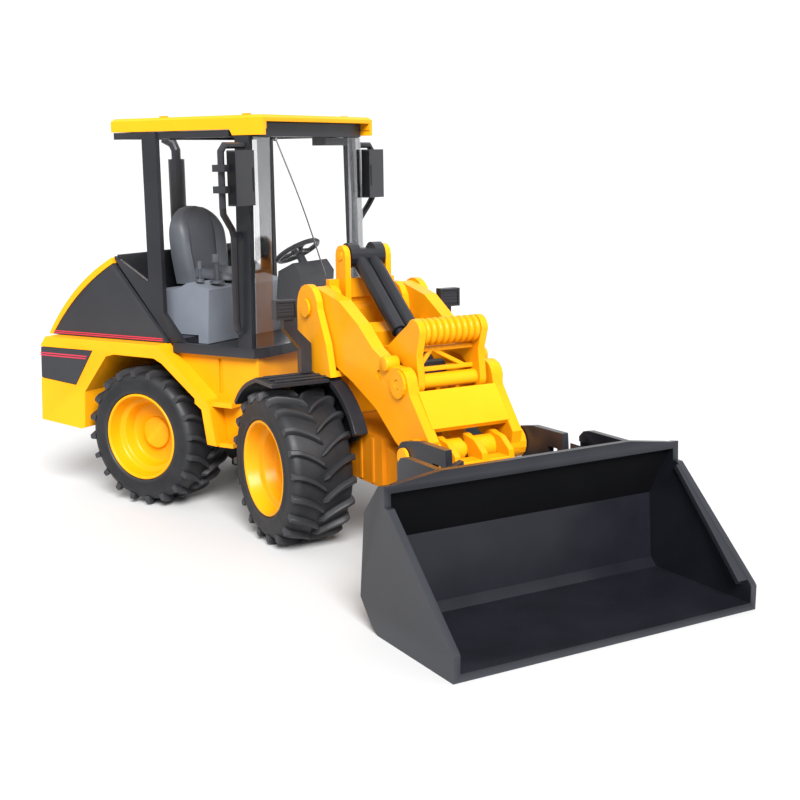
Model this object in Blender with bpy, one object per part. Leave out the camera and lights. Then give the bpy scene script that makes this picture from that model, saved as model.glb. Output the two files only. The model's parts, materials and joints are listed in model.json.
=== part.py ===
"""Toy front loader: an articulated wheel loader with a cab, a lift arm and a bucket.

Every piece is modelled in the straight frame of its own half of the machine, in
millimetres: X forward, Y to the left, Z up from the ground, with the articulation
axis at X = Y = 0. The halves are then placed by parenting: the front half is
steered to its right. The finished model stands on Z = 0, centred on its own box.
"""
import bpy
import bmesh
from math import atan2, cos, degrees, hypot, pi, radians, sin
from mathutils import Matrix, Vector

MM = 0.001
GAP = 0.3                      # clearance between neighbouring pieces

# Driving dimensions, millimetres and degrees
STEER = -29.35                 # rest angle of the front half about the articulation pin
TYRE_R = 33.0
TYRE_IN, TYRE_OUT = 24.6, 53.3  # inner and outer side planes of a tyre, from the middle
RIM_R = 20.6
REAR_AXLE_X = -61.2
FRONT_AXLE_X = 61.9
AXLE_R = 2.6
LUGS = 20                      # lugs on each side of a tyre
LUG_LEAD = 14.0                # turn of a lug between the middle and the shoulder
BODY_HALF = 53.0               # half width of the fenders
DECK_Z = 77.3                  # top of the rear body
BASE_Z = 73.3                  # top of the cab base
CAB_HALF = 44.3                # half width of the cab at the roof
SILL_HALF = 46.8               # half width of the cab at the sill
ROOF_Z = 179.5
ROOF_UNDER = 173.5
FRONT_UNDER = 176.6            # underside of the roof over the windshield
SILL_Z = 78.0                  # top of the cab's sill
FLOOR_Z = 75.4                 # top of the cab's floor inside the sill
RAIL_Z = 170.2                 # underside of the rails that carry the roof
GLASS_X = 5.9                  # outer face of the windshield
LIFT = (56.0, 98.5)            # lift pivot, X and Z in the front half
TILT = (123.5, 74.8)           # pivot of the tilt crank
COUPLER = (137.5, 49.6)        # pivot of the quick coupler
CYL_TOP = (56.0, 119.5)        # upper pivot of the twin cylinder
CYL_LOW = (109.0, 76.5)        # lower pin of the twin cylinder, on the arm
LINK = (-4.5, -6.5)            # from a pivot to its end of the tilt link
ARM_IN, ARM_OUT = 17.8, 24.2   # the arm's faces at the lift pivot
BUCKET_HALF = 63.8
FLOOR_LIP = 2.8                # thickness of the bucket's floor
STEERING = (-8.0, 4.0, 117.5)  # centre of the steering wheel
STEERING_TILT = 30.0
MIRROR_Y = 60.0                # upright tube of a mirror bracket
MIRROR_X = -1.0

COLOURS = {
    "yellow": ((0.93, 0.45, 0.01), 0.35, 0.0),
    "black": ((0.018, 0.018, 0.020), 0.45, 0.0),
    "charcoal": ((0.030, 0.031, 0.036), 0.40, 0.0),
    "tyre": ((0.022, 0.023, 0.024), 0.70, 0.0),
    "grey": ((0.12, 0.135, 0.155), 0.50, 0.0),
    "steel": ((0.30, 0.31, 0.33), 0.30, 1.0),
    "clear": ((0.85, 0.88, 0.90), 0.05, 0.0),
}


# ---------------------------------------------------------------- building blocks

def clear_scene():
    for old in list(bpy.data.objects):
        bpy.data.objects.remove(old, do_unlink=True)


def make_material(name):
    colour, roughness, metallic = COLOURS[name]
    material = bpy.data.materials.new(name)
    material.use_nodes = True
    shader = material.node_tree.nodes["Principled BSDF"]
    shader.inputs["Base Color"].default_value = (*colour, 1.0)
    shader.inputs["Roughness"].default_value = roughness
    shader.inputs["Metallic"].default_value = metallic
    if name == "clear":
        shader.inputs["Transmission Weight"].default_value = 0.9
    return material


def solid(bm):
    """An unnamed object from a bmesh in millimetres, with its faces pointing out."""
    bmesh.ops.remove_doubles(bm, verts=bm.verts, dist=0.0001)
    bmesh.ops.recalc_face_normals(bm, faces=bm.faces)
    bmesh.ops.scale(bm, vec=(MM, MM, MM), verts=bm.verts)
    mesh = bpy.data.meshes.new("work")
    bm.to_mesh(mesh)
    bm.free()
    obj = bpy.data.objects.new("work", mesh)
    bpy.context.scene.collection.objects.link(obj)
    return obj


def loft(rings):
    """A solid through a list of rings, each a list of the same number of 3-D points."""
    bm = bmesh.new()
    rows = [[bm.verts.new(point) for point in ring] for ring in rings]
    count = len(rows[0])
    for low, high in zip(rows, rows[1:]):
        for i in range(count):
            j = (i + 1) % count
            bm.faces.new((low[i], low[j], high[j], high[i]))
    bm.faces.new(rows[0])
    bm.faces.new(reversed(rows[-1]))
    return solid(bm)


def side_plate(outline, y0, y1):
    """An X-Z outline with thickness along Y; y0 and y1 may be functions of X."""
    low = y0 if callable(y0) else (lambda x: y0)
    high = y1 if callable(y1) else (lambda x: y1)
    rings = [[(x, face(x), z) for x, z in outline] for face in (low, high)]
    return loft(rings)


def floor_plate(outline, z0, z1):
    return loft([[(x, y, z) for x, y in outline] for z in (z0, z1)])


def cross_plate(outline, x0, x1):
    return loft([[(x, y, z) for y, z in outline] for x in (x0, x1)])


def box(x0, x1, y0, y1, z0, z1):
    return floor_plate([(x0, y0), (x1, y0), (x1, y1), (x0, y1)], z0, z1)


def arc(centre, radius, start, end, steps=8):
    """Points on an arc, in degrees, both ends included."""
    turns = [radians(start + (end - start) * i / steps) for i in range(steps + 1)]
    return [(centre[0] + radius * cos(t), centre[1] + radius * sin(t)) for t in turns]


def arc_through(a, b, c, steps=8):
    """Points on the arc from a to c that passes through b."""
    d = 2 * (a[0] * (b[1] - c[1]) + b[0] * (c[1] - a[1]) + c[0] * (a[1] - b[1]))
    squares = [p[0] ** 2 + p[1] ** 2 for p in (a, b, c)]
    x = (squares[0] * (b[1] - c[1]) + squares[1] * (c[1] - a[1]) + squares[2] * (a[1] - b[1])) / d
    y = (squares[0] * (c[0] - b[0]) + squares[1] * (a[0] - c[0]) + squares[2] * (b[0] - a[0])) / d
    start, middle, end = (degrees(atan2(p[1] - y, p[0] - x)) for p in (a, b, c))
    while end < start:
        end += 360
    while middle < start:
        middle += 360
    if middle > end:
        end -= 360
    return arc((x, y), hypot(a[0] - x, a[1] - y), start, end, steps)


def rod(start, end, radius, sides=16):
    """A round bar between two points."""
    a, b = Vector(start), Vector(end)
    turn = (b - a).to_track_quat("Z", "Y")
    rings = []
    for centre in (a, b):
        ring = []
        for i in range(sides):
            t = 2 * pi * (i + 0.5) / sides
            ring.append(centre + turn @ Vector((radius * cos(t), radius * sin(t), 0)))
        rings.append(ring)
    return loft(rings)


def cross_rod(at, radius, y0, y1, sides=16):
    return rod((at[0], y0, at[1]), (at[0], y1, at[1]), radius, sides)


def tube(points, radius, sides=8):
    """A round bar along a bent route, mitred at its corners."""
    route = [Vector(p) for p in points]
    directions = [(b - a).normalized() for a, b in zip(route, route[1:])]
    side = directions[0].orthogonal().normalized()
    rings = []
    for i, centre in enumerate(route):
        before = directions[max(i - 1, 0)]
        after = directions[min(i, len(directions) - 1)]
        tangent = (before + after).normalized()
        side = (side - tangent * side.dot(tangent)).normalized()
        other = tangent.cross(side)
        stretch = 1.0 / max(tangent.dot(after), 0.5)
        bend = (after - before)
        outward = bend.normalized() if bend.length > 1e-6 else side
        ring = []
        for k in range(sides):
            t = 2 * pi * (k + 0.5) / sides
            offset = (side * cos(t) + other * sin(t)) * radius
            offset += outward * offset.dot(outward) * (stretch - 1.0)
            ring.append(centre + offset)
        rings.append(ring)
    return loft(rings)


def turned(profile, at, side=1, sides=32):
    """A closed (radius, distance) profile turned about an axis along Y at X, Z = at."""
    bm = bmesh.new()
    rows = []
    for i in range(sides):
        t = 2 * pi * (i + 0.5) / sides
        rows.append([bm.verts.new((at[0] + r * cos(t), side * d, at[1] + r * sin(t)))
                     for r, d in profile])
    for i in range(sides):
        near, far = rows[i], rows[(i + 1) % sides]
        for k in range(len(profile)):
            n = (k + 1) % len(profile)
            bm.faces.new((near[k], near[n], far[n], far[k]))
    return solid(bm)


def combine(base, tools, operation):
    """Union with, or difference of, each tool in turn; the tools are used up."""
    for tool in tools:
        step = base.modifiers.new("step", "BOOLEAN")
        step.operation = operation
        step.solver = "EXACT"
        step.object = tool
        bpy.context.view_layer.update()
        graph = bpy.context.evaluated_depsgraph_get()
        mesh = bpy.data.meshes.new_from_object(base.evaluated_get(graph))
        base.modifiers.clear()
        base.data = mesh
        bpy.data.objects.remove(tool, do_unlink=True)
    return base


def join(base, *tools):
    return combine(base, tools, "UNION")


def cut(base, *tools):
    return combine(base, tools, "DIFFERENCE")


class Body:
    """A rigid body: an empty on its joint's axis, and the pieces that ride on it."""

    def __init__(self, name, pivot, parent=None, turn=0.0):
        self.pivot = Vector(pivot)
        self.empty = bpy.data.objects.new(name, None)
        bpy.context.scene.collection.objects.link(self.empty)
        if parent:
            self.empty.parent = parent.empty
            self.empty.location = (self.pivot - parent.pivot) * MM
        self.empty.rotation_euler.z = radians(turn)

    def add(self, obj, name, material):
        """Name a finished piece, colour it and hang it on this body."""
        obj.name = name
        obj.data.name = name
        obj.data.transform(Matrix.Translation(-self.pivot * MM))
        obj.parent = self.empty
        obj.data.materials.clear()
        obj.data.materials.append(MATERIALS[material])
        for face in obj.data.polygons:
            face.material_index = 0
        obj.data.shade_smooth()
        obj.data.set_sharp_from_angle(angle=radians(32))
        return obj


def side_name(side):
    return "left" if side > 0 else "right"


def both(side, near, far):
    """The two Y faces of a piece between near and far from the middle, on one side."""
    return sorted((side * near, side * far))


# ---------------------------------------------------------------- wheels

def tread_ring(at, distance, lead, low, high):
    """One ring of a tread: a tooth for each lug, turned by lead degrees."""
    ring = []
    for n in range(LUGS):
        middle = radians(360.0 * n / LUGS + lead)
        for share, radius in ((-0.24, low), (-0.15, high), (0.15, high), (0.24, low)):
            t = middle + share * 2 * pi / LUGS
            ring.append((at[0] + radius * cos(t), distance, at[1] + radius * sin(t)))
    return ring


def tyre(at, side):
    """A tyre whose lugs run in a chevron from the middle of the tread to its shoulders."""
    middle = (TYRE_IN + TYRE_OUT) / 2
    bead = RIM_R + GAP
    stations = [(TYRE_IN, 0, bead, bead), (TYRE_IN + 0.8, LUG_LEAD, 28.8, 32.6), (middle, 0, 30.5, TYRE_R),
                (TYRE_OUT - 0.8, LUG_LEAD, 28.8, 32.6), (TYRE_OUT, 0, bead, bead)]
    rings = [tread_ring(at, side * y, lead, low, high) for y, lead, low, high in stations]
    bm = bmesh.new()
    rows = [[bm.verts.new(point) for point in ring] for ring in rings]
    for near, far in zip(rows, rows[1:] + rows[:1]):
        for i in range(len(near)):
            j = (i + 1) % len(near)
            bm.faces.new((near[i], near[j], far[j], far[i]))
    return solid(bm)


def rim(at, side):
    profile = [(RIM_R, 25.4), (RIM_R, 52.8), (19.2, 52.8), (17.4, 46.6), (15.4, 46.2),
               (14.4, 40.3), (AXLE_R + GAP, 40.3), (AXLE_R + GAP, 36.8), (14.0, 36.8),
               (18.9, 44.5), (18.9, 25.4)]
    return turned(profile, at, side, 24)


def hub_cap(at, side):
    sides = 16
    rows = []
    for radius, distance in ((7.6, 40.6), (7.6, 41.6), (7.0, 42.0)):
        circle = arc(at, radius, 0, 360 - 360 / sides, sides - 1)
        rows.append([(x, side * distance, z) for x, z in circle])
    return loft(rows)


def add_wheel(parent, axle_x, side, name):
    at = (axle_x, TYRE_R)
    body = Body("wheel_" + name, (axle_x, side * 39.0, TYRE_R), parent)
    body.add(tyre(at, side), "tyre_" + name, "tyre")
    body.add(rim(at, side), "rim_" + name, "yellow")
    body.add(hub_cap(at, side), "hub_cap_" + name, "yellow")


def axle_tubes(at):
    """An axle's tube and its two wheel hubs, before they are bored for the shaft."""
    hubs = [cross_rod(at, 8.0, *both(side, 23.8, 35.5), 24) for side in (-1, 1)]
    return [cross_rod(at, 6.5, -24.6, 24.6, 20)] + hubs


def axle_housing(at):
    tube_piece, *hubs = axle_tubes(at)
    return cut(join(tube_piece, *hubs), cross_rod(at, AXLE_R + GAP, -40, 40))


# ---------------------------------------------------------------- rear half

def hood_arc(inset=0.0, steps=14):
    """The hood's curved back, from the cab down to the deck, moved in by an inset."""
    slope = inset * 0.75
    return arc_through((-79.6 + slope * 0.3, 116.0 - inset), (-104.3 + slope, 99.6 - slope),
                       (-123.4 + inset, DECK_Z + GAP), steps)


def hood_height(x):
    """Height of the hood's outer surface at X."""
    points = hood_arc(0.0, 40)
    for a, b in zip(points, points[1:]):
        if min(a[0], b[0]) <= x <= max(a[0], b[0]):
            return a[1] + (b[1] - a[1]) * (x - a[0]) / (b[0] - a[0])
    return DECK_Z


def rear_body():
    upper = [(-124.6, 35.8), (-98.3, 33.5), (-96.0, 34.3), (-94.7, 52.0), (-80.0, 70.0), (-75.0, 71.3),
             (-50.4, 71.1), (-45.7, 69.0), (-25.4, 53.0), (-21.3, 53.9), (-45.3, 74.6), (-48.6, DECK_Z),
             (-119.0, DECK_Z), (-122.4, 73.0)]
    body = side_plate(upper, -BODY_HALF, BODY_HALF)
    base = [(-44.0, BASE_Z), (-45.6, 70.5), (-25.0, 54.0), (2.6, 54.0), (2.6, BASE_Z)]
    leg = [(-20.7, 33.6), (-15.5, 33.2), (-18.5, 50.0), (-21.3, 53.9), (-27.0, 57.0), (-27.0, 52.0),
           (-23.3, 49.5)]
    parts = [side_plate(base, -43.5, 43.5)]
    for side in (-1, 1):
        parts.append(side_plate(leg, *both(side, 41.0, BODY_HALF)))
        parts.append(box(-21.0, -7.0, *both(side, 41.0, 43.5), 32.5, 56.0))
        parts.append(box(-20.0, -7.5, *both(side, 42.0, 51.0), 51.0, 53.3))
        parts.append(box(-18.5, -8.0, *both(side, 42.0, 50.5), 32.5, 34.5))
    body = join(body, *parts)
    pocket = [(-40.5, 70.8), (-22.0, 56.2), (-22.0, 50.0), (0.0, 50.0), (0.0, 70.8)]
    holes = [box(-122.0, -99.5, -49.0, 49.0, 20.0, 72.0), side_plate(pocket, -41.0, 41.0)]
    panel = panel_outline(GAP)
    for side in (-1, 1):
        holes.append(side_plate(panel, *both(side, BODY_HALF - 1.2, BODY_HALF + 2)))
    for side in (-1, 1):
        holes.append(box(-20.0, -17.8, *both(side, 42.5, 46.0), 56.0, BASE_Z - 1.5))
    return cut(body, *holes)


def panel_outline(grow=0.0):
    return [(-122.4 - grow, 72.0 + grow), (-88.8 + grow * 2, 72.0 + grow),
            (-100.6 + grow, 55.0 - grow), (-123.2 - grow, 57.0 - grow)]


def rear_chassis():
    beam = box(-93.5, -15.0, -18.0, 18.0, 30.0, 51.5)
    ears = []
    for z0, z1 in ((33.0, 37.0), (46.5, 50.5)):
        outline = [(-20.0, -9.0)] + arc((0, 0), 9.0, -90, 90, 12) + [(-20.0, 9.0)]
        ears.append(floor_plate(outline, z0, z1))
    beam = join(beam, *ears)
    pin_hole = rod((0, 0, 20), (0, 0, 60), 3.0 + GAP, 20)
    axle = (REAR_AXLE_X, TYRE_R)
    pillar = box(-74.0, -52.0, -15.0, 15.0, 48.0, 70.8)
    beam = join(cut(beam, pin_hole), pillar, *axle_tubes(axle))
    return cut(beam, cross_rod(axle, AXLE_R + GAP, -40, 40))


def hood_cover():
    outline = hood_arc() + list(reversed(hood_arc(2.6)))
    return side_plate(outline, -46.0, 46.0)


def hood_panel(side):
    top = hood_arc(2.6 + GAP)
    outline = top + [(-47.9, DECK_Z + GAP), (-79.4, top[0][1])]
    return side_plate(outline[1:], *both(side, 43.5, 45.7))


def hood_grille():
    """A louvred panel laid on the rear slope of the hood."""
    a, b = hood_arc(-0.3, 16)[9], hood_arc(-0.3, 16)[15]
    out = Vector((a[1] - b[1], 0, b[0] - a[0])).normalized() * -1
    if out.x > 0:
        out = -out
    base = [(a[0], a[1]), (b[0], b[1]), (b[0] + out.x * 1.6, b[1] + out.z * 1.6),
            (a[0] + out.x * 1.6, a[1] + out.z * 1.6)]
    rise = max(0.0, max(
        (p[0] - a[0]) * out.x + (p[1] - a[1]) * out.z for p in hood_arc(0, 32))) + GAP
    shifted = [(x + out.x * rise, z + out.z * rise) for x, z in base]
    panel = side_plate(shifted, -26.0, 26.0)
    slots = []
    for n in range(5):
        t = (n + 0.75) / 5.5
        x = a[0] + (b[0] - a[0]) * t + out.x * (rise + 1.4)
        z = a[1] + (b[1] - a[1]) * t + out.z * (rise + 1.4)
        slots.append(rod((x, -23.0, z), (x, 23.0, z), 1.0, 6))
    return cut(panel, *slots)


def cab_frame():
    sill_plan = [(-43.7, -SILL_HALF), (3.0, -SILL_HALF), (5.4, -39.0), (6.2, -30.0), (6.2, 30.0),
                 (5.4, 39.0), (3.0, SILL_HALF), (-43.7, SILL_HALF)]
    frame = floor_plate(sill_plan, BASE_Z + GAP, SILL_Z)
    frame = cut(frame, box(-42.6, 0.5, -44.0, 44.0, FLOOR_Z, SILL_Z + 1))
    parts = []
    rail = []
    for side in (-1, 1):
        foot = [(-5.6, SILL_HALF), (1.8, SILL_HALF), (1.8, 43.8), (-5.6, 43.8)]
        head = [(-5.6, CAB_HALF), (1.8, CAB_HALF), (1.8, 41.3), (-5.6, 41.3)]
        parts.append(loft([[(x, side * y, 77.0) for x, y in foot],
                           [(x, side * y, RAIL_Z + 0.4) for x, y in head]]))
        panel = [(-78.9, 115.4), (-78.9, 116.6), (-58.6, 105.0), (-58.6, ROOF_UNDER - GAP),
                 (-50.3, ROOF_UNDER - GAP), (-50.3, 91.0), (-38.5, 77.0), (-45.9, 77.0)]
        parts.append(side_plate(panel, *both(side, 42.0, 44.6)))
        rail.append(box(-76.4, -9.5, *both(side, 39.5, 43.4), RAIL_Z, ROOF_UNDER - GAP))
        rail.append(box(-10.5, 1.0, *both(side, 38.5, 41.7), RAIL_Z, ROOF_UNDER - GAP))
    parts.append(box(-78.3, -76.6, -43.2, 43.2, 78.0, 117.3))
    parts.append(box(-78.3, -43.0, -43.2, 43.2, DECK_Z + GAP, 79.2))
    rail.append(box(-2.0, 5.2, -40.5, 40.5, RAIL_Z, FRONT_UNDER - GAP))
    rail.append(box(-75.4, -71.0, -40.5, 40.5, RAIL_Z, ROOF_UNDER - GAP))
    return join(frame, *parts, *rail)


def roof():
    half = 44.1
    low = [(-77.2, -half), (9.7, -half), (9.7, half), (-77.2, half)]
    top = [(-75.8, -half + 1.4), (8.3, -half + 1.4), (8.3, half - 1.4), (-75.8, half - 1.4)]
    shell = loft([[(x, y, ROOF_UNDER) for x, y in low], [(x, y, ROOF_Z - 1.2) for x, y in low],
                  [(x, y, ROOF_Z) for x, y in top]])
    parts = []
    corner_skirt = [(-9.0, 174.5), (-7.0, 170.9), (9.7, 170.9), (9.7, 174.5)]
    for side in (-1, 1):
        parts.append(side_plate(corner_skirt, *both(side, 42.0, half)))
        for x in (-50.0, -3.0):
            parts.append(box(x - 1.4, x + 1.4, *both(side, 37.0, 40.0), ROOF_Z - 1, ROOF_Z + 0.8))
    roof_panel = join(shell, *parts)
    return cut(roof_panel, box(-2.6, 11.0, -41.4, 41.4, 168.0, FRONT_UNDER))


def windshield():
    def plan(grow):
        bend = [(GLASS_X, 29.5), (GLASS_X - 0.8, 38.0 + grow), (3.2, 44.0 + grow)]
        outer = [(x, -y) for x, y in reversed(bend)] + bend
        inner = [(x - 1.0, y * 0.995) for x, y in reversed(outer)]
        return outer + inner
    low = [(x, y, SILL_Z + GAP) for x, y in plan(1.4)]
    high = [(x, y, RAIL_Z - GAP) for x, y in plan(-0.9)]
    return loft([low, high])


def rear_glazing():
    pane = box(-77.0, -76.0, -44.0, 44.0, 118.0, 170.0)
    quarter = [(-77.0, 116.0), (-58.9, 105.6), (-58.9, 170.0), (-77.0, 170.0)]
    sides = [side_plate(quarter, *both(side, 43.7, 44.7)) for side in (-1, 1)]
    return join(pane, *sides)


def roof_console():
    return box(-5.0, 2.6, 14.0, 33.0, 166.4, 169.9)


def seat_base():
    outline = [(-68.0, 79.5), (-42.3, 79.5), (-42.3, FLOOR_Z + GAP), (-36.6, FLOOR_Z + GAP), (-35.0, 101.0),
               (-47.5, 103.9), (-56.0, 100.0), (-68.0, 100.0)]
    return side_plate(outline, -30.0, 30.0)


def seat():
    back = [(-73.5, 101.0), (-64.5, 101.0), (-60.0, 104.0), (-60.5, 128.0)]
    back += arc((-64.5, 135.0), 3.8, 10, 160, 6) + [(-72.0, 128.0)]
    shell = side_plate(back, -14.5, 14.5)
    parts = []
    bolster = [(-72.0, 103.0), (-56.0, 104.0), (-54.8, 112.0), (-57.5, 126.0), (-64.0, 131.0), (-71.0, 127.0)]
    for side in (-1, 1):
        parts.append(side_plate(bolster, *both(side, 12.5, 17.0)))
    cushion = [(-64.6, 104.9), (-50.4, 104.9), (-40.0, 103.4), (-37.0, 104.6), (-38.5, 107.2),
               (-50.0, 109.8), (-64.6, 109.8)]
    parts.append(side_plate(cushion, -12.0, 12.0))
    return join(shell, *parts)


def lever(foot, reach, radius, knob):
    top = (foot[0] + reach[0], foot[1], foot[2] + reach[1])
    base = rod(foot, (foot[0], foot[1], foot[2] + 1.4), radius * 2.6, 12)
    grip = rod((top[0], top[1], top[2] - 2.2), (top[0], top[1], top[2] + 1.6), knob, 10)
    return join(base, rod(foot, top, radius, 8), grip)


def dashboard():
    post = box(-9.0, 0.0, -3.0, 11.0, FLOOR_Z + GAP, 98.0)
    hood = [(-11.0, 96.0), (2.0, 94.0), (3.0, 108.0), (-1.0, 113.0), (-9.5, 109.0)]
    head = side_plate(hood, -10.0, 18.0)
    x, y, z = STEERING
    lean = radians(STEERING_TILT)
    column = rod((x + 12 * sin(lean), y, z - 12 * cos(lean)),
                 (x + 1.6 * sin(lean), y, z - 1.6 * cos(lean)), 2.0, 12)
    return join(post, head, column)


def steering_wheel():
    """A rim, three spokes and a hub, built flat and then leaned back."""
    bm = bmesh.new()
    ring, section = 24, 6
    rows = []
    for i in range(ring):
        t = 2 * pi * i / ring
        row = []
        for k in range(section):
            s = 2 * pi * k / section
            reach = 10.4 + 1.2 * cos(s)
            row.append(bm.verts.new((reach * cos(t), reach * sin(t), 1.2 * sin(s))))
        rows.append(row)
    for i in range(ring):
        near, far = rows[i], rows[(i + 1) % ring]
        for k in range(section):
            n = (k + 1) % section
            bm.faces.new((near[k], near[n], far[n], far[k]))
    wheel = solid(bm)
    parts = [rod((0, 0, -1.2), (0, 0, 1.6), 3.0, 16)]
    for turn in (90, 210, 330):
        t = radians(turn)
        parts.append(rod((0, 0, 0), (10.2 * cos(t), 10.2 * sin(t), 0), 0.9, 8))
    wheel = join(wheel, *parts)
    place = Matrix.Translation(Vector(STEERING) * MM) @ Matrix.Rotation(-radians(STEERING_TILT), 4, "Y")
    wheel.data.transform(place)
    return wheel


def mirror_bracket(side):
    route = [(-1.0, 44.9, 166.5), (-1.0, 57.5, 166.5), (MIRROR_X, MIRROR_Y, 164.0),
             (MIRROR_X, MIRROR_Y, 140.5), (-2.0, MIRROR_Y - 1.5, 137.5), (-3.0, 51.5, 130.5),
             (-3.4, 50.0, 127.5), (-3.6, 50.0, 90.0), (-3.4, 49.6, 87.0), (-3.0, 48.0, 85.2)]
    bar = tube([(x, side * y, z) for x, y, z in route], 1.5)
    clip = box(-4.4, -2.4, *both(side, 46.0, 50.0), 126.4, 129.4)
    return join(bar, clip)


def mirror_head(side):
    plate = box(1.6, 6.4, *both(side, 46.5, 59.4), 141.0, 164.4)
    parts = []
    for z in (148.0, 157.0):
        parts.append(box(-3.6, 3.0, *both(side, 57.2, 62.9), z - 1.5, z + 1.5))
    head = join(plate, *parts)
    bore = rod((MIRROR_X, side * MIRROR_Y, 141), (MIRROR_X, side * MIRROR_Y, 166), 1.5 + GAP, 12)
    return cut(head, bore)


def exhaust():
    x, y = -98.0, 25.0
    stack = rod((x, y, 109.6), (x, y, 161.0), 4.2, 16)
    pipe = tube([(x, y, 159.0), (x, y, 165.5), (x - 1.5, y - 0.5, 169.0), (x - 6.0, y - 2.0, 171.5)], 2.4, 12)
    slope = [(x + step, hood_height(x + step) + GAP + 0.1) for step in (-6.0, 6.0)]
    foot = side_plate(slope + [(x + 6.0, 111.6), (x - 6.0, 111.6)], y - 6, y + 6)
    return join(stack, pipe, foot)


# ---------------------------------------------------------------- front half

def front_chassis():
    beam = box(13.5, 106.0, -20.0, 20.0, 29.5, 50.0)
    nose = [(104.0, 29.5), (112.0, 31.0), (115.5, 36.0), (113.0, 45.0), (104.0, 47.0)]
    tongue = [(18.0, -8.0)] + list(reversed(arc((0, 0), 8.0, 90, 270, 12))) + [(18.0, 8.0)]
    tongue_piece = floor_plate(tongue, 37.0 + GAP, 46.5 - GAP)
    parts = [side_plate(nose, -18.0, 18.0), tongue_piece]
    for side in (-1, 1):
        for x in (88.0, 98.0):
            parts.append(box(x, x + 1.6, *both(side, 19.0, 20.6), 30.5, 49.0))
    beam = join(beam, *parts)
    pin_hole = rod((0, 0, 20), (0, 0, 60), 3.0 + GAP, 20)
    bore = cross_rod((FRONT_AXLE_X, TYRE_R), 6.5 + GAP, -30, 30, 24)
    return cut(beam, pin_hole, bore)


def cheek(radius):
    """Outline of a tower cheek: a round eye on the lift pivot and a leg below it."""
    x, z = LIFT
    return arc(LIFT, radius, 0, 180, 9) + [(x - radius, 84.5), (x + 1.0, 80.3), (x + 1.0, 71.3),
                                            (x + 20.7, 71.3), (x + 17.0, 84.6)]


def tower():
    wall = box(51.5, 54.5, -16.0, 16.0, 50.0 + GAP, 109.5)
    parts = []
    ear = [(51.5, 50.0 + GAP), (60.5, 50.0 + GAP), (60.5, CYL_TOP[1])] + arc(CYL_TOP, 4.5, 0, 180, 6)
    inner = arc(LIFT, 9.0, 0, 180, 7) + [(47.0, 50.0 + GAP), (66.5, 50.0 + GAP), (66.0, 88.0)]
    for side in (-1, 1):
        parts.append(side_plate(ear, *both(side, 8.6, 11.2)))
        parts.append(side_plate(inner, *both(side, 14.4, 17.5)))
        parts.append(box(47.5, 66.0, *both(side, 10.0, 15.5), 50.0 + GAP, 54.0))
        parts.append(side_plate(cheek(9.8), *both(side, ARM_OUT + GAP, 27.5)))
        parts.append(box(57.0, 76.0, *both(side, 16.5, 26.0), 71.3, 73.6))
    body = join(wall, *parts)
    holes = [cross_rod(LIFT, 3.0 + GAP, -30, 30), cross_rod(CYL_TOP, 2.0 + GAP, -30, 30)]
    return cut(body, *holes)


def mudguard(side):
    """A cover over the back of the tyre, joined to an inner liner with a rolled edge."""
    wheel = (FRONT_AXLE_X, TYRE_R)
    outer = arc(wheel, 37.6, 140, 108, 5) + [(57.0, 71.0), (74.0, 70.6)]
    inner = [(74.0, 68.8), (57.5, 69.0)] + arc(wheel, 35.6, 108, 140, 5)
    cover = side_plate(outer + inner, *both(side, 22.0, 53.0))
    rolled = arc(wheel, 39.0, 70, 4, 7) + arc(wheel, 36.2, 4, 70, 7)
    edge = side_plate(rolled, *both(side, 20.9, 27.0))
    sheet = arc(wheel, 38.0, 140, 4, 10) + arc(wheel, 20.0, 4, 140, 6)
    liner = side_plate(sheet, *both(side, 20.9, 22.4))
    link = side_plate(arc(wheel, 38.0, 112, 66, 6) + arc(wheel, 36.2, 66, 112, 6), *both(side, 20.9, 24.0))
    return join(cover, edge, liner, link)


def work_lamp(side):
    head = box(58.2, 62.6, *both(side, 35.2, 44.9), 95.0, 103.0)
    ribs = [box(57.4, 59.0, *both(side, 36.4, 43.7), z, z + 0.9) for z in (96.6, 98.6, 100.6)]
    x0, x1 = 57.5, 61.5
    stalk = [(28.6, 71.6), (33.4, 71.6), (33.4, 82.0), (41.0, 91.0), (41.0, 96.0), (37.0, 96.0),
             (36.4, 92.0), (28.6, 84.0)]
    post = cross_plate([(side * y, z) for y, z in stalk], x0, x1)
    head = join(head, post, *ribs)
    recess = box(62.0, 64.0, *both(side, 36.2, 43.9), 96.0, 102.0)
    return cut(head, recess)


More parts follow.
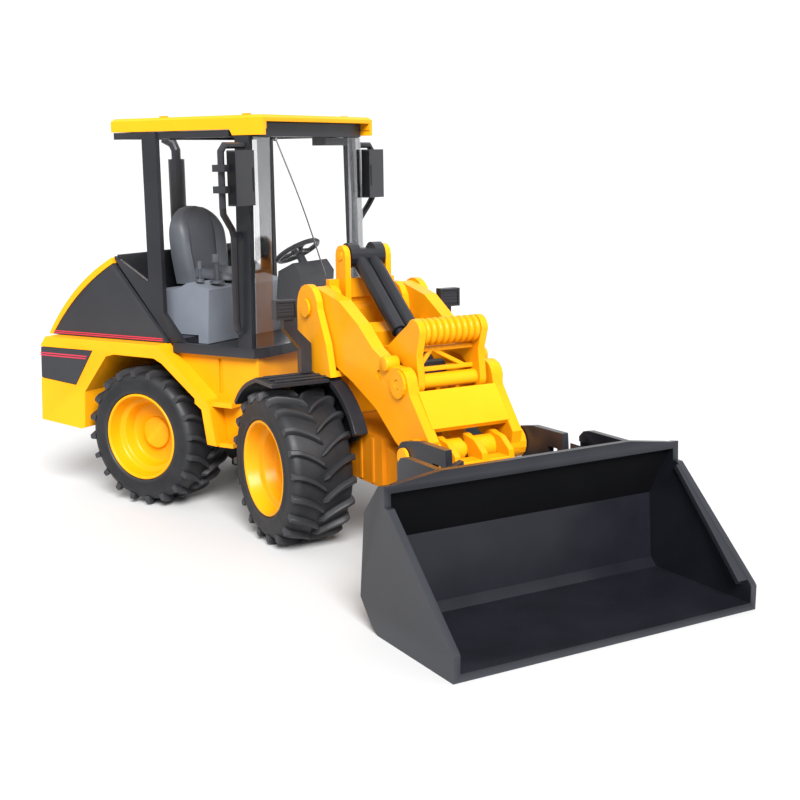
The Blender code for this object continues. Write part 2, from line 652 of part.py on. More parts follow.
def lift_arm():
    top = [(77.4, 103.0), (93.1, 94.7), (104.0, 86.5), (116.5, 81.0)]
    eye = arc(TILT, 6.4, 110, 10, 6)
    front = [(131.2, 71.5), (144.7, 55.5)]
    tip = arc(COUPLER, 6.2, 10, -130, 8)
    under = [(120.4, 51.8), (105.8, 62.7), (87.4, 70.8), (66.0, 78.0), (55.0, 84.0)]
    back = arc(LIFT, 8.6, 200, 75, 9)
    outline = top + eye + front + tip + under + back
    parts = []
    for side in (-1, 1):
        inner = lambda x, s=side: s * (ARM_IN - (x - LIFT[0]) * 0.012)
        outer = lambda x, s=side: s * (ARM_OUT - (x - LIFT[0]) * 0.035)
        parts.append(side_plate(outline, inner, outer))
    web = [(70.0, 82.0), (80.0, 79.0), (82.0, 89.5), (74.0, 92.5)]
    cover = [(129.0, 72.0), (131.0, 72.6), (141.4, 59.8), (140.2, 58.2), (138.6, 59.0), (127.6, 70.6)]
    brace = [(104.0, 62.6), (118.0, 52.6), (119.6, 54.6), (105.6, 64.8)]
    fill = [side_plate(web, -18.0, 18.0), side_plate(cover, -17.6, 17.6), side_plate(brace, -17.6, 17.6)]
    collars = []
    for side in (-1, 1):
        collars.append(cross_rod(COUPLER, 6.2, *both(side, 18.0, 24.0)))
        collars.append(cross_rod(TILT, 5.6, *both(side, 18.0, 22.8)))
    arm = join(parts[0], *fill, parts[1], *collars)
    holes = [cross_rod(LIFT, 3.0 + GAP, -30, 30), cross_rod(TILT, 1.7 + GAP, -30, 30),
             cross_rod(COUPLER, 2.4 + GAP, -30, 30), cross_rod(CYL_LOW, 1.8 + GAP, -30, 30)]
    return cut(arm, *holes)


def pin(at, radius, y0, y1, head, head_end):
    """A pin with a wider head at one end."""
    shank = cross_rod(at, radius, y0, y1)
    cap = cross_rod(at, head, *sorted((y1, head_end)))
    return join(shank, cap)


def ribbed_grip(at, half, count=9):
    """A turned roller with round ribs."""
    profile = [(1.2, -half), (4.0, -half)]
    pitch = 2 * half / count
    for n in range(count):
        profile += [(5.2, -half + (n + 0.5) * pitch), (4.0, -half + (n + 1) * pitch)]
    profile += [(1.2, half)]
    return turned(profile, at, 1, 10)


def tilt_crank():
    grip = (124.3, 94.3)
    plate = [(119.4, 96.8), (104.6, 87.2), (98.8, 86.0), (99.6, 83.0), (113.4, 82.0), (118.8, 77.0)]
    plate += arc(TILT, 4.9, 180, 360, 7) + [(126.8, 86.0)] + arc(grip, 5.3, -10, 120, 5)
    parts = []
    for side in (-1, 1):
        parts.append(side_plate(plate, *both(side, 12.4, 15.6)))
    tube_piece = cross_rod(TILT, 3.0, -13.0, 13.0)
    x0, x1 = 120.6, 122.8
    truss = [box(x0, x1, -13.0, 13.0, 86.2, 88.2), box(x0, x1, -13.0, 13.0, 78.2, 80.0)]
    for a, b in (((-12, 79), (-6, 87)), ((-6, 87), (9, 79))):
        slope = Vector((b[0] - a[0], b[1] - a[1])).normalized() * 0.8
        across = (-slope[1], slope[0])
        quad = [(a[0] - across[0], a[1] - across[1]), (b[0] - across[0], b[1] - across[1]),
                (b[0] + across[0], b[1] + across[1]), (a[0] + across[0], a[1] + across[1])]
        truss.append(cross_plate(quad, x0, x1))
    lever_end = (TILT[0] + LINK[0], TILT[1] + LINK[1])
    for side in (-1, 1):
        arm = [(TILT[0] - 2.0, TILT[1] + 3.0), (lever_end[0] - 2.5, lever_end[1] + 2.5)]
        arm += arc(lever_end, 2.8, 160, 320, 4) + [(TILT[0] + 1.0, TILT[1] - 3.0)]
        truss.append(side_plate(arm, *both(side, 3.4, 5.4)))
    crank = join(parts[0], tube_piece, parts[1], ribbed_grip(grip, 12.8), *truss)
    holes = [cross_rod(TILT, 1.7 + GAP, -20, 20), cross_rod(lever_end, 1.5 + GAP, -10, 10),
             cross_rod(grip, 1.4, -11.5, 20)]
    return cut(crank, *holes)


def tilt_link():
    a = (TILT[0] + LINK[0], TILT[1] + LINK[1])
    b = (COUPLER[0] + LINK[0], COUPLER[1] + LINK[1])
    facing = degrees(atan2(b[1] - a[1], b[0] - a[0]))
    outline = arc(a, 2.6, facing + 90, facing + 270, 6) + arc(b, 2.6, facing - 90, facing + 90, 6)
    bar = side_plate(outline, -3.0, 3.0)
    ends = [cross_rod(a, 1.5, -5.4, 5.4, 12), cross_rod(b, 1.5, -5.4, 5.4, 12)]
    return join(bar, *ends)


def cylinder_axis():
    run = Vector((CYL_LOW[0] - CYL_TOP[0], 0, CYL_LOW[1] - CYL_TOP[1]))
    return run.normalized(), run.length


def along_cylinder(distance, y):
    axis, _ = cylinder_axis()
    return (CYL_TOP[0] + axis.x * distance, y, CYL_TOP[1] + axis.z * distance)


def cylinder_barrel():
    eye = cross_rod(CYL_TOP, 5.4, -8.2, 8.2)
    parts = [rod(along_cylinder(0, y), along_cylinder(46, y), 3.3, 16) for y in (-3.1, 3.1)]
    barrel = join(eye, *parts)
    x, z = CYL_TOP
    holes = [cross_rod(CYL_TOP, 2.0 + GAP, -12, 12), box(x - 8, x + 8, -3.6, 3.6, z + 2.8, z + 8)]
    holes += [rod(along_cylinder(8, y), along_cylinder(50, y), 2.0 + GAP, 12) for y in (-3.1, 3.1)]
    return cut(barrel, *holes)


def cylinder_rods():
    _, length = cylinder_axis()
    parts = [rod(along_cylinder(30, y), along_cylinder(length - 2, y), 2.0, 12) for y in (-3.1, 3.1)]
    eye = cross_rod(CYL_LOW, 4.2, -6.4, 6.4, 16)
    rods = join(eye, *parts)
    return cut(rods, cross_rod(CYL_LOW, 3.2, -10, 10, 16))


def coupler():
    x, z = COUPLER
    rib = arc(COUPLER, 6.0, 190, 70, 5) + [(144.0, 54.6), (150.8, 51.0), (151.2, 47.4), (158.0, 43.0),
                                           (166.8, 39.0), (163.2, 16.0), (160.0, 16.0), (152.0, 36.0),
                                           (140.0, 42.4)]
    barrel = cross_rod(COUPLER, 4.6, -15.2, 15.2)
    parts = []
    for y0, y1 in ((-15.4, -12.6), (-7.0, -4.6), (4.6, 7.0), (12.6, 15.4)):
        parts.append(side_plate(rib, y0, y1))
    plate = [(171.4, 41.0), (167.8, 12.0), (163.4, 12.0), (165.6, 30.0), (166.0, 41.0)]
    parts.append(side_plate(plate, -16.0, 16.0))
    parts.append(box(147.6, 150.4, -15.0, 15.0, 45.0, 49.6))
    body = join(barrel, *parts)
    link_end = (x + LINK[0], z + LINK[1])
    lugs = []
    for side in (-1, 1):
        lug = [(x - 2.0, z + 3.0), (link_end[0] - 2.4, link_end[1] + 1.4)]
        lug += arc(link_end, 2.8, 160, 320, 4) + [(x + 2.5, z - 3.0)]
        lugs.append(side_plate(lug, *both(side, 3.2, 5.4)))
    body = join(body, *lugs)
    return cut(body, cross_rod(COUPLER, 2.4 + GAP, -20, 20), cross_rod(link_end, 1.5 + GAP, -10, 10),
               box(x - 10.0, x + 5.5, -3.4, 3.4, z - 12.0, z + 6.5))


def bucket():
    outer = [(182.5, 53.3), (186.3, 53.9), (186.5, 46.7), (188.9, 46.6), (228.2, 10.0), (229.0, 9.0),
             (228.8, 0.0), (180.5, 0.0), (176.0, 2.4), (168.3, 10.8), (172.1, 41.9)]
    shell = side_plate(outer, -BUCKET_HALF, BUCKET_HALF)
    inside = [(186.4, 80.0), (186.4, 51.2), (183.6, 50.8), (173.5, 31.6), (175.2, 5.8), (178.6, FLOOR_LIP),
              (260.0, FLOOR_LIP), (260.0, 80.0)]
    shell = cut(shell, side_plate(inside, -BUCKET_HALF + 2.6, BUCKET_HALF - 2.6))
    guard = [(-60.0, 52.0), (-41.0, 52.0), (41.0, 52.0), (60.0, 52.0), (60.0, 53.8), (41.0, 56.4),
             (-41.0, 56.4), (-60.0, 53.8)]
    flank = [(157.0, 45.2), (171.4, 36.5), (173.6, 40.0), (184.4, 52.4), (184.6, 56.3), (163.0, 56.3),
             (159.6, 55.6), (157.0, 53.2)]
    ear = arc(COUPLER, 6.0, 200, 95, 6) + [(147.0, 57.4), (166.0, 57.6), (166.6, 51.0), (174.0, 47.6),
                                           (172.4, 36.0), (160.0, 43.0), (140.0, 43.6)]
    parts = [cross_plate(guard, 183.6, 186.2)]
    for side in (-1, 1):
        parts.append(side_plate(ear, *both(side, 24.5, 27.3)))
        parts.append(side_plate(flank, *both(side, 39.4, 42.0)))
        gusset = [(side * 24.5, 44.0), (side * 40.0, 44.0), (side * 40.0, 49.0), (side * 24.5, 55.0)]
        parts.append(cross_plate(gusset, 171.0, 174.0))
    shell = join(shell, *parts)
    return cut(shell, cross_rod(COUPLER, 2.4 + GAP, -40, 40),
               box(157.0, 163.0, 20.0, 40.0, 47.6, 51.2), box(157.0, 163.0, -40.0, -20.0, 47.6, 51.2))


# ---------------------------------------------------------------- assembly

clear_scene()
MATERIALS = {name: make_material(name) for name in COLOURS}

rear = Body("rear_half", (0, 0, 0))
rear.add(rear_body(), "rear_body", "yellow")
rear.add(rear_chassis(), "rear_chassis", "black")
rear.add(cross_rod((REAR_AXLE_X, TYRE_R), AXLE_R, -40.2, 40.2), "rear_axle_shaft", "steel")
rear.add(rod((0, 0, 31.5), (0, 0, 52.0), 3.0, 20), "articulation_pin", "steel")
rear.add(hood_cover(), "hood_cover", "yellow")
rear.add(hood_grille(), "hood_grille", "black")
rear.add(cab_frame(), "cab_frame", "black")
rear.add(roof(), "roof", "yellow")
rear.add(windshield(), "windshield", "clear")
rear.add(rear_glazing(), "rear_glazing", "clear")
rear.add(roof_console(), "roof_console", "black")
rear.add(seat_base(), "seat_base", "grey")
rear.add(seat(), "seat", "grey")
rear.add(lever((-44.5, -24.5, 104.1), (0.0, 8.0), 0.8, 1.1), "lever_small", "grey")
rear.add(lever((-39.0, -18.5, 103.1), (-0.5, 12.0), 1.3, 1.9), "lever_large", "grey")
rear.add(dashboard(), "dashboard", "black")
rear.add(exhaust(), "exhaust", "black")
for side in (-1, 1):
    rear.add(hood_panel(side), "hood_panel_" + side_name(side), "black")
    rear.add(side_plate(panel_outline(), *both(side, BODY_HALF - 0.9, BODY_HALF - 0.1)),
             "side_panel_" + side_name(side), "black")
    rear.add(mirror_bracket(side), "mirror_bracket_" + side_name(side), "black")
    mirror = Body("mirror_" + side_name(side), (MIRROR_X, side * MIRROR_Y, 153.0), rear)
    mirror.add(mirror_head(side), "mirror_head_" + side_name(side), "black")
    add_wheel(rear, REAR_AXLE_X, side, "rear_" + side_name(side))

steering = Body("steering", STEERING, rear)
steering.add(steering_wheel(), "steering_wheel", "black")

front = Body("front_half", (0, 0, 0), rear, STEER)
front.add(front_chassis(), "front_chassis", "yellow")
front.add(tower(), "tower", "yellow")
front.add(axle_housing((FRONT_AXLE_X, TYRE_R)), "front_axle_housing", "black")
front.add(cross_rod((FRONT_AXLE_X, TYRE_R), AXLE_R, -40.2, 40.2), "front_axle_shaft", "steel")
front.add(cross_rod(CYL_TOP, 2.0, -11.6, 11.6), "barrel_pin", "steel")
for side in (-1, 1):
    front.add(mudguard(side), "mudguard_" + side_name(side), "black")
    front.add(work_lamp(side), "work_lamp_" + side_name(side), "black")
    front.add(pin(LIFT, 3.0, side * 14.0, side * 27.8, 4.0, side * 28.8), "lift_pin_" + side_name(side),
              "yellow")
    add_wheel(front, FRONT_AXLE_X, side, "front_" + side_name(side))

arm_body = Body("arm", (LIFT[0], 0, LIFT[1]), front)
arm_body.add(lift_arm(), "lift_arm", "yellow")
arm_body.add(cross_rod(TILT, 1.7, -22.6, 22.6), "crank_pin", "yellow")
arm_body.add(cross_rod(CYL_LOW, 1.8, -21.6, 21.6), "rod_pin", "yellow")

crank_body = Body("crank", (TILT[0], 0, TILT[1]), arm_body)
crank_body.add(tilt_crank(), "tilt_crank", "yellow")
link_body = Body("link", (TILT[0] + LINK[0], 0, TILT[1] + LINK[1]), crank_body)
link_body.add(tilt_link(), "tilt_link", "yellow")

barrel_body = Body("barrel", (CYL_TOP[0], 0, CYL_TOP[1]), front)
barrel_body.add(cylinder_barrel(), "cylinder_barrel", "black")
rods_body = Body("rods", (CYL_TOP[0], 0, CYL_TOP[1]), barrel_body)
rods_body.add(cylinder_rods(), "cylinder_rods", "black")

coupler_body = Body("coupler_joint", (COUPLER[0], 0, COUPLER[1]), arm_body)
coupler_body.add(coupler(), "coupler", "yellow")
coupler_body.add(bucket(), "bucket", "charcoal")
for side in (-1, 1):
    coupler_body.add(pin(COUPLER, 2.4, side * 16.4, side * 27.6, 3.6, side * 28.9),
                     "coupler_pin_" + side_name(side), "yellow")


def centre_on_ground():
    """Move the whole model so that the middle of its box stands on the origin."""
    bpy.context.view_layer.update()
    points = [o.matrix_world @ v.co for o in bpy.data.objects if o.type == "MESH" for v in o.data.vertices]
    middle_x = (min(p.x for p in points) + max(p.x for p in points)) / 2
    middle_y = (min(p.y for p in points) + max(p.y for p in points)) / 2
    rear.empty.location = (-middle_x, -middle_y, -min(p.z for p in points))
    bpy.context.view_layer.update()


centre_on_ground()
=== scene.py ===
"""The toy front loader's looks: mouldings, tyres, glazing, decals and a plain studio.

Shapes are written in millimetres in the straight frame of their own half of the machine
(X forward, Y to the driver's left, Z up, the articulation axis at X = Y = 0) and are put
in place by REAR or FRONT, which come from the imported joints.
"""
import json
from math import atan2, cos, pi, radians, sin

import bmesh
import bpy
from mathutils import Matrix, Vector


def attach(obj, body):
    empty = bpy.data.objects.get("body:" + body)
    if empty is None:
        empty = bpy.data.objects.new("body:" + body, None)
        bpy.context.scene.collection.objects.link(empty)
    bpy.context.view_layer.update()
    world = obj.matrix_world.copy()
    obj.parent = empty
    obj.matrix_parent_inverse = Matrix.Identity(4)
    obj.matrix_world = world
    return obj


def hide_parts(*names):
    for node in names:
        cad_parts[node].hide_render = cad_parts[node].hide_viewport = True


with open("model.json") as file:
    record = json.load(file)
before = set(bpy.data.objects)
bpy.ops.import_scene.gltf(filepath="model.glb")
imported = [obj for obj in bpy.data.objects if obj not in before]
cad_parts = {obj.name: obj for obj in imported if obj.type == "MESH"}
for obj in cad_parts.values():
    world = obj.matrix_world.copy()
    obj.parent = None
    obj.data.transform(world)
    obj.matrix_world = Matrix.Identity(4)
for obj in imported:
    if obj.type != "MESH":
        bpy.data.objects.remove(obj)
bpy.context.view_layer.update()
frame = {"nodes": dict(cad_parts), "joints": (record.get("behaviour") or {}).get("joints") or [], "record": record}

MM = 0.001
JOINTS = {joint["name"]: joint for joint in frame["joints"]}
PIVOT = Vector(JOINTS["articulation"]["pos_m"])
AXLE = JOINTS["front_wheel_left"]["axis"]
REAR = Matrix.Translation((PIVOT.x, PIVOT.y, 0))
FRONT = REAR @ Matrix.Rotation(atan2(-AXLE[0], AXLE[1]), 4, "Z")


def local(joint, place):
    """A joint's position in the straight frame of its half, in millimetres."""
    return (place.inverted() @ Vector(JOINTS[joint]["pos_m"])) / MM


# ---------------------------------------------------------------- materials

RELIEF_M = 0.0002              # depth of the grain on every surface, in metres


def new_material(name):
    """An empty material with its node tree and its shader."""
    material = bpy.data.materials.new(name)
    material.use_nodes = True
    tree = material.node_tree
    return material, tree, tree.nodes["Principled BSDF"]


def noise(tree, scale, detail=2.0, stretch=None):
    """A noise texture in the object's own coordinates."""
    coordinates = tree.nodes.new("ShaderNodeTexCoord")
    source = coordinates.outputs["Object"]
    if stretch:
        mapping = tree.nodes.new("ShaderNodeMapping")
        mapping.inputs["Scale"].default_value = stretch
        tree.links.new(source, mapping.inputs["Vector"])
        source = mapping.outputs["Vector"]
    texture = tree.nodes.new("ShaderNodeTexNoise")
    texture.inputs["Scale"].default_value = scale
    texture.inputs["Detail"].default_value = detail
    tree.links.new(source, texture.inputs["Vector"])
    return texture.outputs["Fac"]


def ramp(tree, value, low, high, start=0.35, end=0.65):
    """Turns a value into a colour between low and high."""
    node = tree.nodes.new("ShaderNodeValToRGB")
    node.color_ramp.elements[0].position = start
    node.color_ramp.elements[1].position = end
    node.color_ramp.elements[0].color = (*low, 1)
    node.color_ramp.elements[1].color = (*high, 1)
    tree.links.new(value, node.inputs["Fac"])
    return node.outputs["Color"]


def spread(tree, value, low, high):
    """Maps a value in 0..1 onto low..high."""
    node = tree.nodes.new("ShaderNodeMapRange")
    node.inputs["To Min"].default_value = low
    node.inputs["To Max"].default_value = high
    tree.links.new(value, node.inputs["Value"])
    return node.outputs["Result"]


def bump(tree, shader, value, strength):
    """Gives the surface a fine relief."""
    node = tree.nodes.new("ShaderNodeBump")
    node.inputs["Strength"].default_value = strength
    node.inputs["Distance"].default_value = RELIEF_M
    tree.links.new(value, node.inputs["Height"])
    tree.links.new(node.outputs["Normal"], shader.inputs["Normal"])


def worn_and_highlit_edges(tree, colour, wear_and_highlight, amount):
    """Mixes a paler colour in along convex edges: partly wear, partly a painted highlight on the rounded edges."""
    geometry = tree.nodes.new("ShaderNodeNewGeometry")
    edge = ramp(tree, geometry.outputs["Pointiness"], (0, 0, 0), (amount,) * 3, 0.52, 0.62)
    mix = tree.nodes.new("ShaderNodeMix")
    mix.data_type = "RGBA"
    mix.inputs["B"].default_value = (*wear_and_highlight, 1)
    tree.links.new(edge, mix.inputs["Factor"])
    tree.links.new(colour, mix.inputs["A"])
    return mix.outputs["Result"]


def plastic(name, dark, light, wear_and_highlight, gloss, grain, shine):
    """Moulded plastic: cloudy colour, paler edges of wear and painted highlight, a fine grain and uneven gloss."""
    material, tree, shader = new_material(name)
    cloud = ramp(tree, noise(tree, 55.0, 3.0), dark, light)
    tree.links.new(worn_and_highlit_edges(tree, cloud, wear_and_highlight, 0.35), shader.inputs["Base Color"])
    tree.links.new(spread(tree, noise(tree, 160.0, 4.0), *gloss), shader.inputs["Roughness"])
    bump(tree, shader, noise(tree, 2600.0, 2.0), grain)
    shader.inputs["Specular IOR Level"].default_value = shine
    return material


def rubber(name):
    """Soft black vinyl: matt, with a fine pebble and slightly paler edges of wear and painted highlight."""
    material, tree, shader = new_material(name)
    cloud = ramp(tree, noise(tree, 90.0, 5.0), (0.0052, 0.0054, 0.0064), (0.0110, 0.0114, 0.0132))
    tree.links.new(worn_and_highlit_edges(tree, cloud, (0.036, 0.037, 0.041), 0.5), shader.inputs["Base Color"])
    tree.links.new(spread(tree, noise(tree, 300.0, 3.0), 0.42, 0.62), shader.inputs["Roughness"])
    bump(tree, shader, noise(tree, 3200.0, 3.0), 0.12)
    shader.inputs["Specular IOR Level"].default_value = 0.3
    return material


def metal(name):
    """Dark brushed steel."""
    material, tree, shader = new_material(name)
    brushed = noise(tree, 700.0, 3.0, (1.0, 12.0, 1.0))
    colour = ramp(tree, brushed, (0.22, 0.22, 0.24), (0.42, 0.42, 0.44))
    tree.links.new(colour, shader.inputs["Base Color"])
    tree.links.new(spread(tree, brushed, 0.22, 0.45), shader.inputs["Roughness"])
    shader.inputs["Metallic"].default_value = 1.0
    bump(tree, shader, brushed, 0.06)
    return material


def glazing(name, facing_share=0.0, edge_share=0.6):
    """Thin clear plastic: see-through, with a gloss that grows towards its edges."""
    material, tree, shader = new_material(name)
    smear = noise(tree, 45.0, 3.0, (1.0, 1.0, 0.35))
    colour = ramp(tree, smear, (0.55, 0.56, 0.58), (0.72, 0.73, 0.75))
    tree.links.new(colour, shader.inputs["Base Color"])
    tree.links.new(spread(tree, smear, 0.03, 0.10), shader.inputs["Roughness"])
    shader.inputs["Metallic"].default_value = 1.0
    clear = tree.nodes.new("ShaderNodeBsdfTransparent")
    clear.inputs["Color"].default_value = (1, 1, 1, 1)
    facing = tree.nodes.new("ShaderNodeLayerWeight")
    facing.inputs["Blend"].default_value = 0.12
    share = spread(tree, facing.outputs["Fresnel"], facing_share, edge_share)
    mix = tree.nodes.new("ShaderNodeMixShader")
    tree.links.new(share, mix.inputs["Fac"])
    tree.links.new(clear.outputs["BSDF"], mix.inputs[1])
    tree.links.new(shader.outputs["BSDF"], mix.inputs[2])
    tree.links.new(mix.outputs["Shader"], tree.nodes["Material Output"].inputs["Surface"])
    return material


MATERIALS = {
    "yellow_plastic": plastic("yellow_plastic", dark=(0.60, 0.220, 0.001), light=(0.64, 0.240, 0.002),
                              wear_and_highlight=(0.85, 0.38, 0.01), gloss=(0.26, 0.38), grain=0.03, shine=0.14),
    # Painted shade: the yellow darkened for the front chassis, which lies in shade under the arms.
    "painted_shade_yellow": plastic("painted_shade_yellow", dark=(0.36, 0.105, 0.001), light=(0.42, 0.130, 0.002),
                             wear_and_highlight=(0.60, 0.22, 0.01), gloss=(0.34, 0.48), grain=0.03, shine=0.14),
    "black_plastic": plastic("black_plastic", dark=(0.0070, 0.0073, 0.0092), light=(0.0105, 0.0108, 0.0132),
                             wear_and_highlight=(0.045, 0.046, 0.052), gloss=(0.24, 0.38), grain=0.03, shine=0.26),
    "charcoal_plastic": plastic("charcoal_plastic", dark=(0.0058, 0.0061, 0.0088),
                                light=(0.0080, 0.0084, 0.0118), wear_and_highlight=(0.055, 0.058, 0.068),
                                gloss=(0.24, 0.36), grain=0.03, shine=0.26),
    "deep_black": plastic("deep_black", dark=(0.0022, 0.0023, 0.0030), light=(0.0034, 0.0035, 0.0045),
                          wear_and_highlight=(0.010, 0.010, 0.012), gloss=(0.26, 0.40), grain=0.02, shine=0.12),
    "seat_plastic": plastic("seat_plastic", dark=(0.040, 0.044, 0.053), light=(0.052, 0.057, 0.068),
                            wear_and_highlight=(0.11, 0.12, 0.135), gloss=(0.40, 0.55), grain=0.10, shine=0.3),
    "grey_plastic": plastic("grey_plastic", dark=(0.085, 0.095, 0.118), light=(0.110, 0.122, 0.148),
                            wear_and_highlight=(0.20, 0.22, 0.25), gloss=(0.42, 0.55), grain=0.08, shine=0.4),
    "red_decal": plastic("red_decal", dark=(0.36, 0.01, 0.03), light=(0.44, 0.015, 0.04),
                         wear_and_highlight=(0.5, 0.05, 0.08), gloss=(0.25, 0.40), grain=0.02, shine=0.2),
    "silver_face": plastic("silver_face", dark=(0.42, 0.43, 0.45), light=(0.55, 0.56, 0.58),
                           wear_and_highlight=(0.7, 0.7, 0.7), gloss=(0.10, 0.22), grain=0.02, shine=1.0),
    "tyre_rubber": rubber("tyre_rubber"),
    "pin_steel": metal("pin_steel"),
    "clear_plastic": glazing("clear_plastic"),
    "curved_glazing": glazing("curved_glazing", facing_share=0.30, edge_share=0.8),
}


# ---------------------------------------------------------------- shape helpers

SHARP_ANGLE = 32               # degrees between faces from which an edge counts as sharp


def finish_mesh(name, bm, place, body, material, bevel=0.0, stands_for=(), angle=SHARP_ANGLE):
    """Turns a bmesh in millimetres into a finished piece that rides on a body."""
    bmesh.ops.remove_doubles(bm, verts=bm.verts, dist=0.0005)
    bmesh.ops.recalc_face_normals(bm, faces=bm.faces)
    bmesh.ops.transform(bm, matrix=place @ Matrix.Scale(MM, 4), verts=bm.verts)
    mesh = bpy.data.meshes.new(name)
    bm.to_mesh(mesh)
    bm.free()
    mesh.shade_smooth()
    piece = bpy.data.objects.new(name, mesh)
    bpy.context.scene.collection.objects.link(piece)
    piece.data.materials.append(MATERIALS[material])
    if bevel:
        round_edges(piece, bevel, angle)
    else:
        mesh.set_sharp_from_angle(angle=radians(angle))
    if stands_for:
        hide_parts(*stands_for)
    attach(piece, body)


def round_edges(piece, width, angle):
    """Rounded moulding edges: a bevel on every sharp edge, with flat faces kept flat."""
    bevel = piece.modifiers.new("round", "BEVEL")
    bevel.width = width * MM
    bevel.segments = 2
    bevel.limit_method = "ANGLE"
    bevel.angle_limit = radians(angle)
    bevel.miter_outer = "MITER_ARC"
    bevel.use_clamp_overlap = True
    bevel.harden_normals = True
    piece.data.shade_smooth()


def moulded(node, width):
    """A CAD node kept as it is, with its flat faces merged and its edges rounded."""
    piece = frame["nodes"][node]
    flat = piece.modifiers.new("flat", "DECIMATE")
    flat.decimate_type = "DISSOLVE"
    flat.angle_limit = radians(1.0)
    round_edges(piece, width, SHARP_ANGLE)


def add_loft(bm, rings, closed=False):
    """Adds a skin through rings of 3-D points; closed joins the last ring to the first."""
    rows = [[bm.verts.new(point) for point in ring] for ring in rings]
    count = len(rows[0])
    pairs = list(zip(rows, rows[1:]))
    if closed:
        pairs.append((rows[-1], rows[0]))
    for near, far in pairs:
        for i in range(count):
            j = (i + 1) % count
            bm.faces.new((near[i], near[j], far[j], far[i]))
    if not closed:
        bm.faces.new(rows[0])
        bm.faces.new(reversed(rows[-1]))


def add_side(bm, outline, y0, y1):
    """Adds an X-Z outline with thickness along Y."""
    add_loft(bm, [[(x, y, z) for x, z in outline] for y in (y0, y1)])


def add_box(bm, x0, x1, y0, y1, z0, z1):
    """Adds a box between two corners."""
    add_side(bm, [(x0, z0), (x1, z0), (x1, z1), (x0, z1)], y0, y1)


def arc(centre, radius, start, end, steps):
    """Points along an arc, from one angle to the other in degrees."""
    turns = [radians(start + (end - start) * i / steps) for i in range(steps + 1)]
    return [(centre[0] + radius * cos(t), centre[1] + radius * sin(t)) for t in turns]


def add_turned(bm, profile, at, side, sides):
    """Adds a closed (radius, distance) profile turned about an axis along Y."""
    rings = []
    for i in range(sides):
        t = 2 * pi * i / sides
        rings.append([(at[0] + r * cos(t), side * d, at[1] + r * sin(t)) for r, d in profile])
    add_loft(bm, rings, closed=True)


def add_rod(bm, start, end, radius, sides, dome=0.0):
    """Adds a round bar between two points, with its ends rounded by dome."""
    a, b = Vector(start), Vector(end)
    axis = (b - a).normalized()
    turn = axis.to_track_quat("Z", "Y")
    if dome:
        step = dome * 0.3
        stations = [(a, radius - dome), (a + axis * step, radius - step), (a + axis * dome, radius),
                    (b - axis * dome, radius), (b - axis * step, radius - step), (b, radius - dome)]
    else:
        stations = [(a, radius), (b, radius)]
    circle = [2 * pi * i / sides for i in range(sides)]
    add_loft(bm, [[centre + turn @ Vector((reach * cos(t), reach * sin(t), 0)) for t in circle]
                  for centre, reach in stations])


def smooth_route(points, per_span):
    """Catmull-Rom points through a route."""
    route = [Vector(p) for p in points]
    padded = [route[0] * 2 - route[1], *route, route[-1] * 2 - route[-2]]
    result = []
    for p0, p1, p2, p3 in zip(padded, padded[1:], padded[2:], padded[3:]):
        for i in range(per_span):
            t = i / per_span
            result.append(0.5 * (2 * p1 + (p2 - p0) * t + (2 * p0 - 5 * p1 + 4 * p2 - p3) * t * t
                                 + (3 * p1 - p0 - 3 * p2 + p3) * t * t * t))
    return result + [route[-1]]


def add_tube(bm, points, radius, sides):
    """Adds a round bar along a smooth route."""
    route = [Vector(p) for p in points]
    side = (route[1] - route[0]).orthogonal().normalized()
    rings = []
    for i, centre in enumerate(route):
        tangent = (route[min(i + 1, len(route) - 1)] - route[max(i - 1, 0)]).normalized()
        side = (side - tangent * side.dot(tangent)).normalized()
        other = tangent.cross(side)
        rings.append([centre + (side * cos(2 * pi * k / sides) + other * sin(2 * pi * k / sides)) * radius
                      for k in range(sides)])
    add_loft(bm, rings)


def both(side, near, far):
    """Two distances from the middle plane as a rising pair, on the left (1) or right (-1) side."""
    return sorted((side * near, side * far))


def side_name(side):
    """The word for the left (1) or right (-1) side."""
    return "left" if side > 0 else "right"


# ---------------------------------------------------------------- wheels

TYRE_R = 33.0
TYRE_IN, TYRE_OUT = 24.6, 53.3
TYRE_HALF = (TYRE_OUT - TYRE_IN) / 2
TYRE_MIDDLE = (TYRE_OUT + TYRE_IN) / 2
LUGS = 20
LUG_LEAD = 14.0                # turn of a lug between the middle and the shoulder


def lug_stations(hand):
    """Along a lug, from the middle to the sidewall: reach, lead, half width, foot and top."""
    stations = []
    steps = 9
    for i in range(steps + 1):
        share = i / steps
        reach = -0.8 + (TYRE_HALF + 0.5) * share
        lead = LUG_LEAD * (1 - (1 - share) ** 1.7)
        top = TYRE_R - 0.15 * share - 1.2 * max(0.0, share - 0.82) / 0.18
        foot = 30.2 - 1.8 * share ** 3
        width = 0.95 + 0.25 * share
        if i == 0:
            top, width = TYRE_R - 1.5, 0.6
        stations.append((reach * hand, lead, width, foot, top))
    return stations


